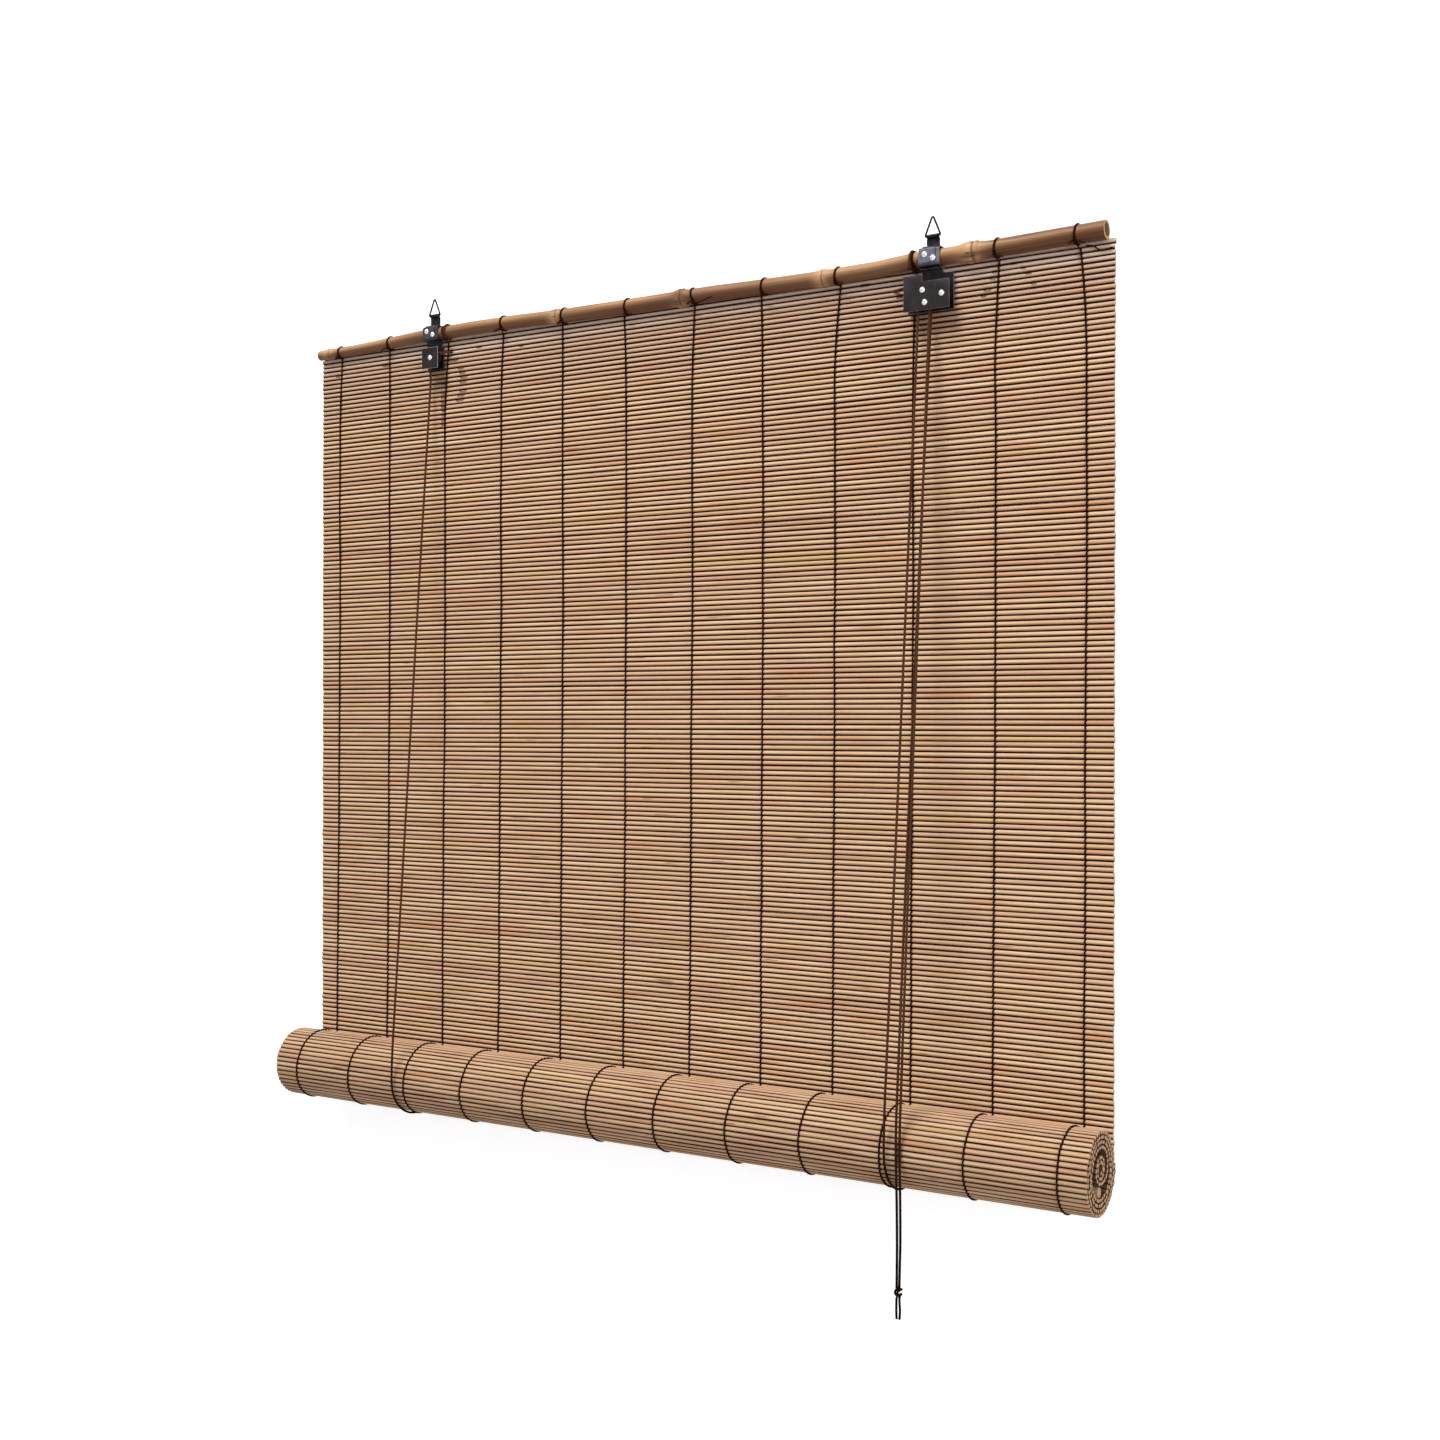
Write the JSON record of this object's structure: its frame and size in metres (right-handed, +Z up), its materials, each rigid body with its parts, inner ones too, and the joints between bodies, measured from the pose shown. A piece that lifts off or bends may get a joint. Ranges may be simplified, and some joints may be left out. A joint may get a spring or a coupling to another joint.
{
  "type": "roll-up blind",
  "caption": "Roll-up blind of bamboo slats woven with dark thread, hung from a bamboo cane by wire rings and raised by cords that run over pulleys and a cam lock.",
  "frame": {"origin": "midway between the two wire rings, at the inside of their tops, where the hooks carry the blind", "axes": "+X along the cane to the pull cords' side, +Y from the room to the wall, +Z up"},
  "size_m": [1.002, 0.093, 1.0602],
  "materials": {
    "cane": "dark brown varnished cane, satin",
    "bamboo": "light tan bamboo slats, satin",
    "thread": "dark brown twisted thread",
    "dark_steel": "dark grey to black sheet steel, soft sheen",
    "rivet_steel": "plain steel rivets",
    "pulley_plastic": "dark grey plastic",
    "cam_brass": "plain brass",
    "cord": "dark brown braided cord"
  },
  "bodies": {
    "frame": {"head_cane": "cane", "cane_lashings": "thread", "hanging_mat": "bamboo", "mat_threads": "thread", "left_strap": "dark_steel", "right_strap": "dark_steel", "left_ring_tab": "dark_steel", "right_ring_tab": "dark_steel", "left_tab_rivets": "rivet_steel", "right_tab_rivets": "rivet_steel", "left_front_plate": "dark_steel", "right_front_plate": "dark_steel", "left_axle": "rivet_steel", "right_axle": "rivet_steel", "left_spacer": "rivet_steel", "guide_sleeve": "rivet_steel", "guide_rivet": "rivet_steel", "cam_rivet": "rivet_steel", "left_front_cord": "cord", "right_front_cord": "cord", "left_back_cord": "cord", "right_back_cord": "cord", "left_cord_loop": "cord", "right_cord_loop": "cord", "cross_cord": "cord", "left_pull_cord": "cord", "right_pull_cord": "cord", "pull_knot": "cord"},
    "slings": {"left_sling": "cord", "right_sling": "cord"},
    "roll": {"slat_roll": "bamboo", "roll_threads": "thread", "roll_rod": "bamboo"},
    "left_ring": {"left_ring": "dark_steel"},
    "right_ring": {"right_ring": "dark_steel"},
    "left_pulley": {"left_pulley": "pulley_plastic"},
    "right_front_pulley": {"right_front_pulley": "pulley_plastic"},
    "right_rear_pulley": {"right_rear_pulley": "pulley_plastic"},
    "lock_cam": {"lock_cam": "cam_brass"}
  },
  "joints": [
    {"name": "roll_lift", "type": "slide", "parent": "frame", "child": "slings", "axis": [0, 0, 1], "range_m": [0, 0.72], "deforming": ["hanging_mat", "mat_threads", "left_front_cord", "right_front_cord", "left_back_cord", "right_back_cord", "left_pull_cord", "right_pull_cord"]},
    {"name": "roll_turn", "type": "hinge", "parent": "slings", "child": "roll", "pos_m": [0, -0.0354, -0.9034], "axis": [1, 0, 0], "range_deg": [-1090, 0]},
    {"name": "left_pulley_spin", "type": "hinge", "parent": "frame", "child": "left_pulley", "pos_m": [-0.317, -0.00305, -0.0686], "axis": [0, 1, 0], "continuous": true},
    {"name": "right_front_pulley_spin", "type": "hinge", "parent": "frame", "child": "right_front_pulley", "pos_m": [0.3125, -0.0077, -0.0718], "axis": [0, 1, 0], "continuous": true},
    {"name": "right_rear_pulley_spin", "type": "hinge", "parent": "frame", "child": "right_rear_pulley", "pos_m": [0.3125, -0.00305, -0.0718], "axis": [0, 1, 0], "continuous": true},
    {"name": "cam_release", "type": "hinge", "parent": "frame", "child": "lock_cam", "pos_m": [0.333, -0.005, -0.0772], "axis": [0, -1, 0], "range_deg": [0, 35]},
    {"name": "left_ring_swing", "type": "hinge", "parent": "frame", "child": "left_ring", "pos_m": [-0.319, 0, -0.0175], "axis": [1, 0, 0], "range_deg": [-85, 85]},
    {"name": "right_ring_swing", "type": "hinge", "parent": "frame", "child": "right_ring", "pos_m": [0.319, 0, -0.0175], "axis": [1, 0, 0], "range_deg": [-85, 85]}
  ],
  "couplings": [
    {"joint": "roll_turn", "follows": "roll_lift", "rad_per_m": -26.18},
    {"joint": "left_pulley_spin", "follows": "roll_lift", "rad_per_m": 333.33},
    {"joint": "right_front_pulley_spin", "follows": "roll_lift", "rad_per_m": 333.33},
    {"joint": "right_rear_pulley_spin", "follows": "roll_lift", "rad_per_m": 333.33}
  ]
}
